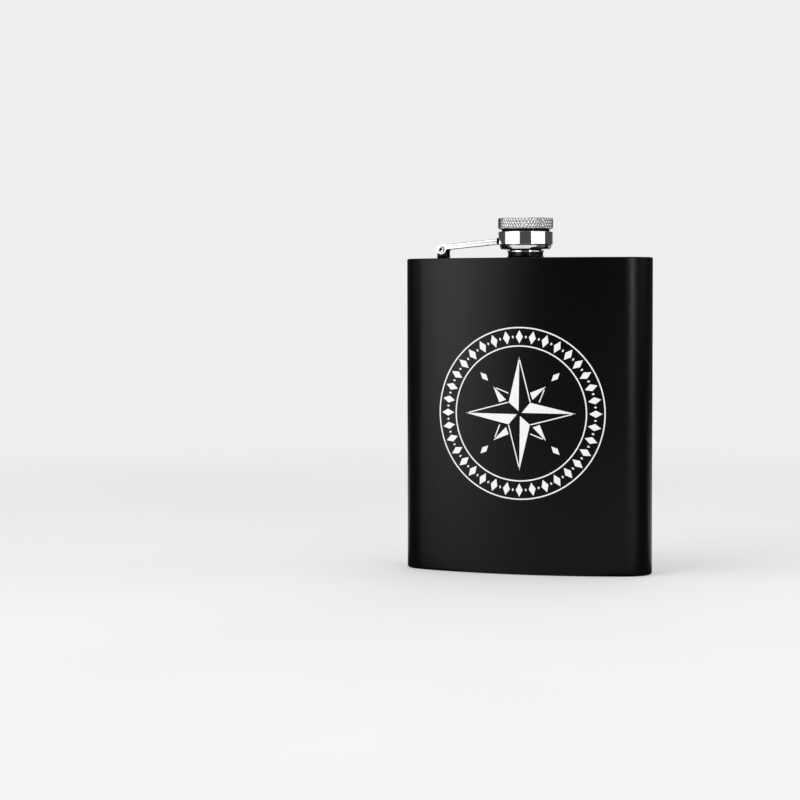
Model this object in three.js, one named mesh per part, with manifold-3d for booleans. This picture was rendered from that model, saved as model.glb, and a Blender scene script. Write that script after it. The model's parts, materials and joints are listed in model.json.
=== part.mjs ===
// Hip flask with a captive screw cap, in stainless steel with a black coated body.
// Lengths are in millimetres and angles in degrees. +Z is up, the convex front faces -Y, and the cap's
// hinge is on the -X side. The origin is the middle of the footprint, on the surface the flask stands on.
import * as THREE from "three";
import { mergeVertices } from "three/addons/utils/BufferGeometryUtils.js";
import Module from "manifold-3d";

const wasm = await Module();
wasm.setup();

// ---- driving dimensions ----
const BODY_WIDTH = 96;
const BODY_THICKNESS = 23.2; // front wall to back wall, across the curved middle
const BODY_HEIGHT = 119.6;
const BEND_RADIUS = 126; // of the surface halfway between the front and the back
const CORNER_RADIUS = 10; // of the four upright corners
const SHEET = 0.6; // wall of the wrapped body
const PLATE = 0.8; // top and bottom pressings
const FIT_GAP = 0.1; // between two pieces that are fixed together
const RUN_GAP = 0.2; // between two pieces that move on each other

const NECK_BORE_RADIUS = 5.2;
const NECK_RADIUS = 5.95; // at the root of the outside thread
const THREAD_DEPTH = 0.6;
const THREAD_PITCH = 2.2;

const COLLAR_RADIUS = 10.25;
const HEAD_RADIUS = 10.45; // the knurled grip
const CAP_BOTTOM = 3.28; // heights from here on are above the top plate
const COLLAR_BOTTOM = 5;
const COLLAR_TOP = 9.85;
const GRIP_BOTTOM = 10.9;
const CAP_TOP = 15.1;
const SEAL_THICKNESS = 1;

const PIN_X = -32.4;
const PIN_HEIGHT = 3.45;
const PIN_RADIUS = 0.75;
const EYE_RADIUS = 1.8; // of the round ends of the arm, about the pin
const ARM_WIDTH = 7;
const ARM_DEPTH = 1.95; // of the arm's folded sides
const ARM_SHEET = 0.8;
const ARM_TILT = 5.2; // the closed arm climbs from the pin to the cap

const ROUND = 48; // facets round a turned piece
const FINE_ROUND = 24; // facets round the pin and its holes
const ARC_STEPS = 7;

// ---- materials ----
const metal = (colour, roughness) =>
  new THREE.MeshStandardMaterial({ color: colour, roughness, metalness: 1 });
const blackCoat = new THREE.MeshStandardMaterial({ color: 0x141414, roughness: 0.5, metalness: 0.1 });
const polishedSteel = metal(0xd8d8d6, 0.12);
const knurledSteel = metal(0xcfcfcd, 0.3);
const turnedSteel = metal(0xb9b9b7, 0.25);
const linerPlastic = new THREE.MeshStandardMaterial({ color: 0xeceae4, roughness: 0.45, metalness: 0 });
const sealRubber = new THREE.MeshStandardMaterial({ color: 0xd9d6cf, roughness: 0.7, metalness: 0 });

const radians = THREE.MathUtils.degToRad;

// ---- the curved section of the body ----
// Two arcs share one bend centre behind the flask. Each end joins them with two round corners and a short
// straight side that points at the bend centre. An inset outline keeps the same corner centres.
const FRONT_CORNER_REACH = BEND_RADIUS + BODY_THICKNESS / 2 - CORNER_RADIUS;
const BACK_CORNER_REACH = BEND_RADIUS - BODY_THICKNESS / 2 + CORNER_RADIUS;
const FRONT_CORNER_ANGLE = Math.asin((BODY_WIDTH / 2 - CORNER_RADIUS) / FRONT_CORNER_REACH);
const SIDE_ANGLE = FRONT_CORNER_ANGLE + Math.asin(CORNER_RADIUS / FRONT_CORNER_REACH);
const BACK_CORNER_ANGLE = SIDE_ANGLE - Math.asin(CORNER_RADIUS / BACK_CORNER_REACH);
const FRONT_Y = -BODY_THICKNESS / 2; // measured from the middle surface at x = 0
const BACK_Y = BEND_RADIUS - BACK_CORNER_REACH * Math.cos(BACK_CORNER_ANGLE) + CORNER_RADIUS;
const MIDDLE_Y = -(FRONT_Y + BACK_Y) / 2; // the middle surface's y in the part's own frame

function kidneyPath(Path, inset) {
  const path = new Path();
  const bendY = BEND_RADIUS + MIDDLE_Y;
  const corner = CORNER_RADIUS - inset;
  const down = -Math.PI / 2;
  const cornerCentre = (reach, angle) => [reach * Math.sin(angle), bendY - reach * Math.cos(angle)];
  const [frontX, frontY] = cornerCentre(FRONT_CORNER_REACH, FRONT_CORNER_ANGLE);
  const [backX, backY] = cornerCentre(BACK_CORNER_REACH, BACK_CORNER_ANGLE);
  const front = BEND_RADIUS + BODY_THICKNESS / 2 - inset;
  const back = BEND_RADIUS - BODY_THICKNESS / 2 + inset;
  path.absarc(0, bendY, front, down - FRONT_CORNER_ANGLE, down + FRONT_CORNER_ANGLE, false);
  path.absarc(frontX, frontY, corner, down + FRONT_CORNER_ANGLE, SIDE_ANGLE, false);
  path.absarc(backX, backY, corner, SIDE_ANGLE, -down + BACK_CORNER_ANGLE, false);
  path.absarc(0, bendY, back, down + BACK_CORNER_ANGLE, down - BACK_CORNER_ANGLE, true);
  path.absarc(-backX, backY, corner, -down - BACK_CORNER_ANGLE, Math.PI - SIDE_ANGLE, false);
  path.absarc(-frontX, frontY, corner, Math.PI - SIDE_ANGLE, 2 * Math.PI + down - FRONT_CORNER_ANGLE, false);
  return path;
}

// A flat kidney of one inset, or a band between two, raised from one height to another.
function kidneySlab(inset, innerInset, from, to) {
  const shape = kidneyPath(THREE.Shape, inset);
  if (innerInset !== null) shape.holes.push(kidneyPath(THREE.Path, innerInset));
  const geometry = new THREE.ExtrudeGeometry(shape, {
    depth: to - from,
    curveSegments: ARC_STEPS,
    bevelEnabled: false,
  });
  return geometry.translate(0, 0, from);
}

// ---- small modelling helpers ----
// A turned piece: a profile of [radius, height] pairs spun about the upright line through x = 0, y = 0.
function turned(profile, segments = ROUND) {
  const points = profile.map(([radius, height]) => new THREE.Vector2(radius, height));
  const startsOnAxis = profile[0][0] === 0;
  if (!startsOnAxis) points.push(points[0].clone());
  return new THREE.LatheGeometry(points, segments).rotateX(Math.PI / 2);
}

// Heights between two levels, evenly spaced and about a step apart.
function levels(from, to, step) {
  const count = Math.round(Math.abs(to - from) / step);
  return Array.from({ length: count + 1 }, (_, i) => from + ((to - from) * i) / count);
}

// Raises a right-hand helical ridge on the wall of a turned piece between two heights. The ridge is a
// rounded wave in each pitch, grows from nothing at both ends, and stands outward where reach is positive.
function raiseThread(geometry, { wall, from, to, reach, phase }) {
  const position = geometry.getAttribute("position");
  for (let i = 0; i < position.count; i++) {
    const [x, y, z] = [position.getX(i), position.getY(i), position.getZ(i)];
    const radius = Math.hypot(x, y);
    if (Math.abs(radius - wall) > 0.01 || z < from || z > to) continue;
    const turn = z / THREAD_PITCH - Math.atan2(y, x) / (2 * Math.PI) + phase;
    const wave = 0.5 + 0.5 * Math.cos(2 * Math.PI * turn);
    const fade = Math.min(1, (z - from) / THREAD_PITCH, (to - z) / THREAD_PITCH);
    const scale = (wall + reach * wave * fade) / radius;
    position.setXY(i, x * scale, y * scale);
  }
  return geometry;
}

// A three.js geometry as a manifold-3d solid, and back.
function solid(geometry) {
  const bare = geometry.index ? geometry.toNonIndexed() : geometry.clone();
  bare.deleteAttribute("normal");
  bare.deleteAttribute("uv");
  const merged = mergeVertices(bare, 1e-4);
  const mesh = new wasm.Mesh({
    numProp: 3,
    vertProperties: new Float32Array(merged.getAttribute("position").array),
    triVerts: new Uint32Array(merged.index.array),
  });
  return new wasm.Manifold(mesh);
}

function geometryOf(made) {
  const mesh = made.getMesh();
  const geometry = new THREE.BufferGeometry();
  geometry.setAttribute("position", new THREE.BufferAttribute(new Float32Array(mesh.vertProperties), 3));
  geometry.setIndex(new THREE.BufferAttribute(new Uint32Array(mesh.triVerts), 1));
  geometry.computeVertexNormals();
  return geometry;
}

// A round bar that lies along Y, centred on y = 0.
function crossBar(radius, length, segments = FINE_ROUND) {
  return new THREE.CylinderGeometry(radius, radius, length, segments);
}

function named(name, geometry, material) {
  const mesh = new THREE.Mesh(geometry, material);
  mesh.name = name;
  return mesh;
}

// ---- the body: a wrapped sheet and two pressed ends, welded ----
const SKIRT_DEPTH = 1.8; // how far the pressed ends reach inside the sheet
const PAN_INSET = 4.5; // from the edge of the base to its raised panel
const PAN_RISE = 0.8;
const NECK_SEAT_RADIUS = 6.8; // hole in the top plate

function bodySleeve() {
  return kidneySlab(0, SHEET, PLATE, BODY_HEIGHT - PLATE);
}

function topPlate() {
  const plate = solid(kidneySlab(0, null, BODY_HEIGHT - PLATE, BODY_HEIGHT));
  const skirtInset = SHEET + FIT_GAP;
  const skirtFrom = BODY_HEIGHT - PLATE - SKIRT_DEPTH;
  const skirt = kidneySlab(skirtInset, skirtInset + SHEET, skirtFrom, BODY_HEIGHT - PLATE / 2);
  const hole = new THREE.CylinderGeometry(NECK_SEAT_RADIUS, NECK_SEAT_RADIUS, 4 * PLATE, ROUND);
  hole.rotateX(Math.PI / 2).translate(0, MIDDLE_Y, BODY_HEIGHT - PLATE / 2);
  return geometryOf(plate.add(solid(skirt)).subtract(solid(hole)));
}

function bottomPlate() {
  const rim = solid(kidneySlab(0, PAN_INSET + PLATE, 0, PLATE));
  const panel = kidneySlab(PAN_INSET, null, PAN_RISE / 2, PAN_RISE + PLATE);
  const skirtInset = SHEET + FIT_GAP;
  const skirt = kidneySlab(skirtInset, skirtInset + SHEET, PLATE / 2, PLATE + SKIRT_DEPTH);
  return geometryOf(rim.add(solid(panel)).add(solid(skirt)));
}

// ---- the neck: a turned spout with a flange under the plate, a bead at its foot and an outside thread ----
const NECK_FLANGE_RADIUS = 8.4;
const NECK_FLANGE_THICKNESS = 0.8;
const NECK_FOOT_RADIUS = 6.65;
const BEAD_RADIUS = 6.95;
const BEAD_FROM = 2;
const BEAD_TO = 2.7;
const THREAD_FROM = 3.6;
const THREAD_TO = 11;
const LINER_ROOF = CAP_TOP - 1.5; // underside of the liner's closed end
const SEAL_BOTTOM = LINER_ROOF - FIT_GAP / 2 - SEAL_THICKNESS;
const NECK_TOP = SEAL_BOTTOM - RUN_GAP;
const THREAD_ROW = THREAD_PITCH / 7;

function neck() {
  const flangeTop = -PLATE - FIT_GAP;
  const flangeBottom = flangeTop - NECK_FLANGE_THICKNESS;
  const profile = [
    [NECK_BORE_RADIUS, flangeBottom],
    [NECK_FLANGE_RADIUS, flangeBottom],
    [NECK_FLANGE_RADIUS, flangeTop],
    [NECK_FOOT_RADIUS, flangeTop],
    [NECK_FOOT_RADIUS, BEAD_FROM],
    [BEAD_RADIUS, BEAD_FROM + 0.15],
    [BEAD_RADIUS, BEAD_TO - 0.15],
    [NECK_RADIUS + 0.3, BEAD_TO],
    ...levels(THREAD_FROM, THREAD_TO, THREAD_ROW).map((height) => [NECK_RADIUS, height]),
    [NECK_RADIUS, NECK_TOP - 0.3],
    [NECK_RADIUS - 0.25, NECK_TOP],
    [NECK_BORE_RADIUS, NECK_TOP],
  ];
  const geometry = turned(profile);
  const thread = { wall: NECK_RADIUS, from: THREAD_FROM, to: THREAD_TO, reach: THREAD_DEPTH, phase: 0 };
  return raiseThread(geometry, thread).translate(0, MIDDLE_Y, BODY_HEIGHT);
}

// ---- the hinge: a folded lug on the top plate and a hollow rivet through it ----
const LUG_WIDTH = ARM_WIDTH - 2 * (ARM_SHEET + RUN_GAP);
const LUG_EAR_RADIUS = 1.6;
const LUG_FOOT = 1.9; // half the lug's length along the plate
const LUG_HOLE_RADIUS = PIN_RADIUS + 0.06;
const RIVET_HEAD_RADIUS = 1.3;
const RIVET_HEAD = 0.5;
const RIVET_HOLLOW_RADIUS = 0.5;
const RIVET_HOLLOW_DEPTH = 2;

// The lug's side view: two upright ears with round tops about the pin, standing on the plate.
function hingeLug() {
  const side = new THREE.Shape();
  side.moveTo(-LUG_FOOT, 0);
  side.lineTo(LUG_FOOT, 0);
  side.lineTo(LUG_FOOT, ARM_SHEET);
  side.lineTo(LUG_EAR_RADIUS, PIN_HEIGHT);
  side.absarc(0, PIN_HEIGHT, LUG_EAR_RADIUS, 0, Math.PI, false);
  side.lineTo(-LUG_FOOT, ARM_SHEET);
  side.closePath();
  const block = new THREE.ExtrudeGeometry(side, { depth: LUG_WIDTH, curveSegments: 8, bevelEnabled: false });
  block.rotateX(Math.PI / 2).translate(0, LUG_WIDTH / 2, 0);
  const between = new THREE.BoxGeometry(4 * LUG_FOOT, LUG_WIDTH - 2 * ARM_SHEET, 4 * PIN_HEIGHT);
  between.translate(0, 0, ARM_SHEET + 2 * PIN_HEIGHT);
  const bore = crossBar(LUG_HOLE_RADIUS, 2 * LUG_WIDTH).translate(0, 0, PIN_HEIGHT);
  const lug = solid(block).subtract(solid(between)).subtract(solid(bore));
  return geometryOf(lug).translate(PIN_X, MIDDLE_Y, BODY_HEIGHT);
}

// A semi-tubular rivet along Y: a low domed head behind, and a rolled end with a round hollow in front.
function hingePin() {
  const inner = ARM_WIDTH / 2 + FIT_GAP;
  const outer = inner + RIVET_HEAD;
  const profile = [
    [0, -outer],
    [RIVET_HEAD_RADIUS * 0.6, -outer],
    [RIVET_HEAD_RADIUS, -outer + RIVET_HEAD * 0.4],
    [RIVET_HEAD_RADIUS, -inner],
    [PIN_RADIUS, -inner],
    [PIN_RADIUS, inner],
    [RIVET_HEAD_RADIUS, inner],
    [RIVET_HEAD_RADIUS, inner + RIVET_HEAD * 0.4],
    [RIVET_HEAD_RADIUS * 0.7, outer],
    [RIVET_HOLLOW_RADIUS, outer - RIVET_HEAD * 0.3],
    [RIVET_HOLLOW_RADIUS, outer - RIVET_HOLLOW_DEPTH],
    [0, outer - RIVET_HOLLOW_DEPTH],
  ];
  const rivet = turned(profile, FINE_ROUND).rotateX(Math.PI / 2); // the hollow end now points to -Y
  return rivet.translate(PIN_X, MIDDLE_Y, BODY_HEIGHT + PIN_HEIGHT);
}

// ---- the arm: a strap folded into a channel, with round ends on the pin, welded to the collar ----
const WEB_FROM = 2.4; // the top of the channel starts clear of the lug
const ARM_HOLE_RADIUS = PIN_RADIUS + 0.1;

function capArm() {
  const reach = -PIN_X; // past the collar's wall, which cuts it to length
  const lowEdge = EYE_RADIUS - ARM_DEPTH;
  const side = new THREE.Shape();
  side.moveTo(reach, lowEdge);
  side.lineTo(reach, EYE_RADIUS);
  side.absarc(0, 0, EYE_RADIUS, Math.PI / 2, 2 * Math.PI + Math.asin(lowEdge / EYE_RADIUS), false);
  side.closePath();
  const bar = new THREE.ExtrudeGeometry(side, { depth: ARM_WIDTH, curveSegments: 10, bevelEnabled: false });
  bar.rotateX(Math.PI / 2).translate(0, ARM_WIDTH / 2, 0);
  const inside = ARM_WIDTH - 2 * ARM_SHEET;
  const channel = new THREE.BoxGeometry(4 * reach, inside, 2 * ARM_DEPTH);
  channel.translate(0, 0, EYE_RADIUS - ARM_SHEET - ARM_DEPTH);
  const slot = new THREE.BoxGeometry(4 * EYE_RADIUS + WEB_FROM, inside, 6 * EYE_RADIUS);
  slot.translate(WEB_FROM / 2 - 2 * EYE_RADIUS, 0, 0);
  const bore = crossBar(ARM_HOLE_RADIUS, 2 * ARM_WIDTH);
  const strap = solid(bar).subtract(solid(channel)).subtract(solid(slot)).subtract(solid(bore));
  const tilted = geometryOf(strap).rotateY(-radians(ARM_TILT));
  tilted.translate(PIN_X, MIDDLE_Y, BODY_HEIGHT + PIN_HEIGHT);
  const cut = COLLAR_RADIUS + FIT_GAP;
  const round = turned([[0, 0], [cut, 0], [cut, CAP_TOP], [0, CAP_TOP]]);
  return geometryOf(solid(tilted).subtract(solid(round.translate(0, MIDDLE_Y, BODY_HEIGHT))));
}

// The polished band that the arm is welded to. The cap turns inside it.
const COLLAR_BORE_RADIUS = 9.4;
const EDGE = 0.2;

function swivelCollar() {
  const profile = [
    [COLLAR_BORE_RADIUS, COLLAR_BOTTOM],
    [COLLAR_RADIUS - EDGE, COLLAR_BOTTOM],
    [COLLAR_RADIUS, COLLAR_BOTTOM + EDGE],
    [COLLAR_RADIUS, COLLAR_TOP - EDGE],
    [COLLAR_RADIUS - EDGE, COLLAR_TOP],
    [COLLAR_BORE_RADIUS, COLLAR_TOP],
  ];
  return turned(profile).translate(0, MIDDLE_Y, BODY_HEIGHT);
}

// ---- the cap: a knurled cup, the rolled sleeve that holds the collar, a threaded liner and a seal ----
const SLEEVE_RADIUS = COLLAR_BORE_RADIUS - RUN_GAP;
const SHOULDER_RADIUS = COLLAR_BORE_RADIUS + 0.25; // rests on top of the collar, and shows as the groove
const LIP_RADIUS = 9.8;
const SLEEVE_BORE_RADIUS = 8.7;
const CUP_WALL = HEAD_RADIUS - SHOULDER_RADIUS - FIT_GAP;
const CUP_ROOF = CAP_TOP - 0.8;
const LINER_RADIUS = SLEEVE_BORE_RADIUS - FIT_GAP;
const LINER_BORE_RADIUS = 8.2;
const LINER_THREAD_DEPTH = 0.5;
const LINER_BOTTOM = 4.3;

function capShell() {
  const chamfer = 0.35;
  const profile = [
    [0, CUP_ROOF],
    [HEAD_RADIUS - CUP_WALL, CUP_ROOF],
    [HEAD_RADIUS - CUP_WALL, GRIP_BOTTOM],
    [HEAD_RADIUS - EDGE, GRIP_BOTTOM],
    [HEAD_RADIUS, GRIP_BOTTOM + EDGE],
    [HEAD_RADIUS, CAP_TOP - chamfer],
    [HEAD_RADIUS - chamfer, CAP_TOP],
    [0, CAP_TOP],
  ];
  return turned(profile).translate(0, MIDDLE_Y, BODY_HEIGHT);
}

function capSleeve() {
  const shoulderFrom = COLLAR_TOP + FIT_GAP;
  const lipTop = COLLAR_BOTTOM - 0.3;
  const top = CUP_ROOF - FIT_GAP;
  const lipMiddle = (CAP_BOTTOM + lipTop) / 2;
  const profile = [
    [SLEEVE_BORE_RADIUS, top],
    [SLEEVE_BORE_RADIUS, CAP_BOTTOM + 0.6],
    [SLEEVE_BORE_RADIUS + 0.25, CAP_BOTTOM + 0.12],
    [SLEEVE_BORE_RADIUS + 0.6, CAP_BOTTOM],
    [LIP_RADIUS - 0.15, lipMiddle - 0.3],
    [LIP_RADIUS, lipMiddle + 0.2],
    [LIP_RADIUS - 0.15, lipTop],
    [SLEEVE_RADIUS, lipTop],
    [SLEEVE_RADIUS, shoulderFrom],
    [SHOULDER_RADIUS, shoulderFrom],
    [SHOULDER_RADIUS, top],
  ];
  return turned(profile).translate(0, MIDDLE_Y, BODY_HEIGHT);
}

function capLiner() {
  const roofTop = CUP_ROOF - FIT_GAP;
  const threadFrom = LINER_BOTTOM + 0.3;
  const rows = levels(THREAD_TO, threadFrom, THREAD_ROW);
  const profile = [
    [0, LINER_ROOF],
    [LINER_BORE_RADIUS, LINER_ROOF],
    ...rows.map((height) => [LINER_BORE_RADIUS, height]),
    [LINER_BORE_RADIUS, LINER_BOTTOM],
    [LINER_RADIUS, LINER_BOTTOM],
    [LINER_RADIUS, roofTop],
    [0, roofTop],
  ];
  const thread = {
    wall: LINER_BORE_RADIUS,
    from: threadFrom,
    to: THREAD_TO,
    reach: -LINER_THREAD_DEPTH,
    phase: 0.5,
  };
  return raiseThread(turned(profile), thread).translate(0, MIDDLE_Y, BODY_HEIGHT);
}

function capSeal() {
  const radius = LINER_BORE_RADIUS - FIT_GAP;
  const top = SEAL_BOTTOM + SEAL_THICKNESS;
  const profile = [[0, SEAL_BOTTOM], [radius, SEAL_BOTTOM], [radius, top], [0, top]];
  return turned(profile).translate(0, MIDDLE_Y, BODY_HEIGHT);
}

// ---- assembly ----
const flask = new THREE.Group();
flask.add(
  named("body_sleeve", bodySleeve(), blackCoat),
  named("top_plate", topPlate(), blackCoat),
  named("bottom_plate", bottomPlate(), blackCoat),
  named("neck", neck(), turnedSteel),
  named("hinge_lug", hingeLug(), blackCoat),
  named("hinge_pin", hingePin(), turnedSteel),
);

const arm = new THREE.Group();
arm.add(
  named("cap_arm", capArm(), polishedSteel),
  named("swivel_collar", swivelCollar(), polishedSteel),
);

const cap = new THREE.Group();
cap.add(
  named("cap_shell", capShell(), knurledSteel),
  named("cap_sleeve", capSleeve(), polishedSteel),
  named("cap_liner", capLiner(), linerPlastic),
  named("cap_seal", capSeal(), sealRubber),
);

arm.add(cap);
flask.add(arm);

export default flask;
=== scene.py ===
"""Looks of the hip flask: fine surfaces, finishes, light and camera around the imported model.

Shapes are worked out in millimetres and written to the meshes in metres. +Z is up, the convex front faces
-Y and the cap's hinge is on the -X side.
"""
import json
import math

import bpy
import numpy as np
from mathutils import Matrix, Vector


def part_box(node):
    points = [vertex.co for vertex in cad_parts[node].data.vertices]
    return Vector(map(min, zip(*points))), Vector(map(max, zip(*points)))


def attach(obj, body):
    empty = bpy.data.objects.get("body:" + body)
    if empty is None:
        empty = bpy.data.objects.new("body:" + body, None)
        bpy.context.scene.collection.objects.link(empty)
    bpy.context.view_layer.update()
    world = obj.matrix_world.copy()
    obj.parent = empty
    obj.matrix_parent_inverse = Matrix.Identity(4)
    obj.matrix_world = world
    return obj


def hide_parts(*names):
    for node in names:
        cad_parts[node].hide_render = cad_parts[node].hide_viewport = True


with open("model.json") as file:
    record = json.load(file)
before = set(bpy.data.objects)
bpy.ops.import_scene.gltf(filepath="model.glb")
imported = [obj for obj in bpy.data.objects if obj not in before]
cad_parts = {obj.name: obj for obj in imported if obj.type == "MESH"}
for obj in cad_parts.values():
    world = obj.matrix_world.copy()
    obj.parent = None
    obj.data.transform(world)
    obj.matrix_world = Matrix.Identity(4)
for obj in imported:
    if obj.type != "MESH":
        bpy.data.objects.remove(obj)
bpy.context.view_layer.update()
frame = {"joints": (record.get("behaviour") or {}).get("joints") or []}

MM = 0.001
TURN = 2 * math.pi
QUARTER = math.pi / 2


def node_corners(node):
    """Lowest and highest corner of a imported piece, in millimetres."""
    low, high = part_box(node)
    return np.array(low) / MM, np.array(high) / MM


def radius_and_heights(node):
    """Radius of a packed turned piece, and its lowest and highest height above the top plate."""
    low, high = node_corners(node)
    return (high[0] - low[0]) / 2, low[2] - TOP, high[2] - TOP


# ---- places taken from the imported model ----
SLEEVE_LOW, SLEEVE_HIGH = node_corners("body_sleeve")
ARM_LOW, ARM_HIGH = node_corners("cap_arm")
TOP = node_corners("top_plate")[1][2]  # heights of the neck, arm and cap are counted from the top plate
FLANGE, _, NECK_TOP = radius_and_heights("neck")
COLLAR, COLLAR_FROM, COLLAR_TO = radius_and_heights("swivel_collar")
GRIP, GRIP_FROM, CAP_TOP = radius_and_heights("cap_shell")
_, INNER_FROM, INNER_TO = radius_and_heights("cap_sleeve")
LINER, LINER_FROM, LINER_TO = radius_and_heights("cap_liner")
SEAL, SEAL_FROM, SEAL_TO = radius_and_heights("cap_seal")
JOINTS = {joint["name"]: joint for joint in frame["joints"]}
PIN = np.array(JOINTS["arm_swing"]["pos_m"]) / MM
AXIS_Y = PIN[1]  # the neck and cap stand on x = 0 at this y

# ---- the body ----
SKIN = 0.05  # every outline is held in by this much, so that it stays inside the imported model
WIDTH = SLEEVE_HIGH[0] - SLEEVE_LOW[0]
THICKNESS = 23.2
BEND = 126  # radius of the surface halfway between front and back
FRONT_TURN = math.radians(16.57)  # how far the front's arc turns to each side
EASE = 18  # radius of the gentle arc that leads from the front into each corner
EASE_TURN = math.radians(14)
BACK_CORNER = 10
SHEET = 0.6
PLATE = 0.8
BASE_ROUND = 0.9
RIM_ROUND = 0.5
PAN_INSET = 4.4
PAN_RISE = 0.8
SKIRT_INSET = 0.7
SKIRT_DEPTH = 1.8
HOLE_LAP = 1.6  # how far the neck's flange reaches past the edge of its hole
FRONT_COLUMNS = 150
BACK_COLUMNS = 120
EASE_COLUMNS = 12
CORNER_COLUMNS = 36


def section_columns():
    """The section as columns: each has an arc centre, a radius, a direction from the centre, and the sign by
    which an inset changes the radius. The front and back arcs share one bend centre behind the flask. Each
    end of the front runs through a gentle arc into a round corner, then straight along the side towards the
    bend centre, and round the back corner. The front corner's radius is what is left of the half width."""
    front = BEND + THICKNESS / 2
    back = BEND - THICKNESS / 2
    bend_y = AXIS_Y + BEND
    turned = FRONT_TURN + EASE_TURN
    eased = EASE * (math.sin(turned) - math.sin(FRONT_TURN))
    corner = (WIDTH / 2 - front * math.sin(FRONT_TURN) - eased) / (1 - math.sin(turned))
    ease_x = (front - EASE) * math.sin(FRONT_TURN)
    ease_y = bend_y - (front - EASE) * math.cos(FRONT_TURN)
    front_x = ease_x + (EASE - corner) * math.sin(turned)
    front_y = ease_y - (EASE - corner) * math.cos(turned)
    behind_y = bend_y - front_y
    side = math.atan2(front_x, behind_y) + math.asin(corner / math.hypot(front_x, behind_y))
    back_reach = back + BACK_CORNER
    back_angle = side - math.asin(BACK_CORNER / back_reach)
    back_x = back_reach * math.sin(back_angle)
    back_y = bend_y - back_reach * math.cos(back_angle)
    down = -QUARTER
    # centre x, centre y, radius, sign, first angle, last angle, columns, and whether the last angle is kept,
    # as it is only before a straight side
    right = [
        (ease_x, ease_y, EASE, -1, down + FRONT_TURN, down + turned, EASE_COLUMNS, False),
        (front_x, front_y, corner, -1, down + turned, side, CORNER_COLUMNS, True),
        (back_x, back_y, BACK_CORNER, -1, side, QUARTER + back_angle, CORNER_COLUMNS, False),
    ]
    left = [(-x, y, radius, sign, math.pi - last, math.pi - first, count, radius == BACK_CORNER)
            for x, y, radius, sign, first, last, count, _ in reversed(right)]
    across = (0, bend_y, front, -1, down - FRONT_TURN, down + FRONT_TURN, FRONT_COLUMNS, False)
    behind = (0, bend_y, back, 1, down + back_angle, down - back_angle, BACK_COLUMNS, False)
    columns = []
    for x, y, radius, sign, first, last, count, keep in [across, *right, behind, *left]:
        angle = np.linspace(first, last, count, endpoint=keep)
        fixed = np.broadcast_to(np.array([x, y, radius, sign], float), (count, 4))
        columns.append(np.column_stack([fixed, np.cos(angle), np.sin(angle)]))
    return np.concatenate(columns)


SECTION = section_columns()


def kidney_rings(profile):
    """One ring of the section for each [inset, height] pair of a profile. A point is its column's centre plus
    the column's direction times its radius, and the inset shortens or lengthens that radius by its sign."""
    profile = np.asarray(profile, float)
    x, y, radius, sign, across, along = SECTION.T
    reach = radius + sign * (profile[:, :1] + SKIN)
    height = np.broadcast_to(profile[:, 1:], reach.shape)
    return np.stack([x + reach * across, y + reach * along, height], -1)


def shrunk_rings(ring, shares, centre):
    """Copies of a flat ring drawn towards a centre point, each keeping a share of its size."""
    shares = np.asarray(shares, float)[:, None, None]
    return centre + shares * (ring - centre)


# ---- mesh helpers ----
SHARP = math.radians(38)


def placed(name, data):
    """A new object in the scene, made from a mesh, a light or a camera."""
    made = bpy.data.objects.new(name, data)
    bpy.context.scene.collection.objects.link(made)
    return made


def quads_between(rows, columns, wrap_rows):
    """Corner numbers of the quads of a grid whose columns join up, and whose rows join up if asked."""
    count = rows if wrap_rows else rows - 1
    row = np.arange(count)[:, None]
    column = np.arange(columns)[None, :]
    after_row = (row + 1) % rows
    after_column = (column + 1) % columns
    first = row * columns
    second = after_row * columns
    corners = [first + column, first + after_column, second + after_column, second + column]
    return np.stack(corners, -1).reshape(-1, 4)


def enclosed_volume(points, faces):
    """Six times the signed volume inside a closed surface, from its faces cut into fans."""
    total = 0.0
    for a, b in ((1, 2), (2, 3)):
        if b < faces.shape[1]:
            crossed = np.cross(points[faces[:, a]], points[faces[:, b]])
            total += float(np.sum(points[faces[:, 0]] * crossed))
    return total


def piece_from(name, points, *face_sets):
    """A smooth mesh object from points in millimetres and arrays of triangles or quads. If the surface holds
    a negative volume, every face is turned round, so that all faces point outwards."""
    points = np.asarray(points, float) * MM
    inside = sum(enclosed_volume(points, faces) for faces in face_sets if len(faces))
    turned_right = [faces if inside > 0 else faces[:, ::-1] for faces in face_sets]
    mesh = bpy.data.meshes.new(name)
    listed = [face for faces in turned_right for face in faces.tolist()]
    mesh.from_pydata(points.tolist(), [], listed)
    mesh.validate()
    mesh.shade_smooth()
    mesh.set_sharp_from_angle(angle=SHARP)
    return placed(name, mesh)


def skin_rings(name, rings, wrap_rows=False, poles=()):
    """A closed surface through rings of points. The rows join up, or one pole point closes each open end."""
    rows, columns = rings.shape[:2]
    points = rings.reshape(-1, 3)
    quads = quads_between(rows, columns, wrap_rows)
    fans = []
    column = np.arange(columns)
    after = (column + 1) % columns
    for pole, first in zip(poles, (0, (rows - 1) * columns)):
        tip = np.full(columns, len(points))
        points = np.vstack([points, pole])
        fan = np.column_stack([first + after, first + column, tip])
        fans.append(fan if first == 0 else fan[:, ::-1])
    return piece_from(name, points, quads, *fans)


GUARD = 0.02  # distance from an arc's end to the extra point that keeps the next straight side flat


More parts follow.
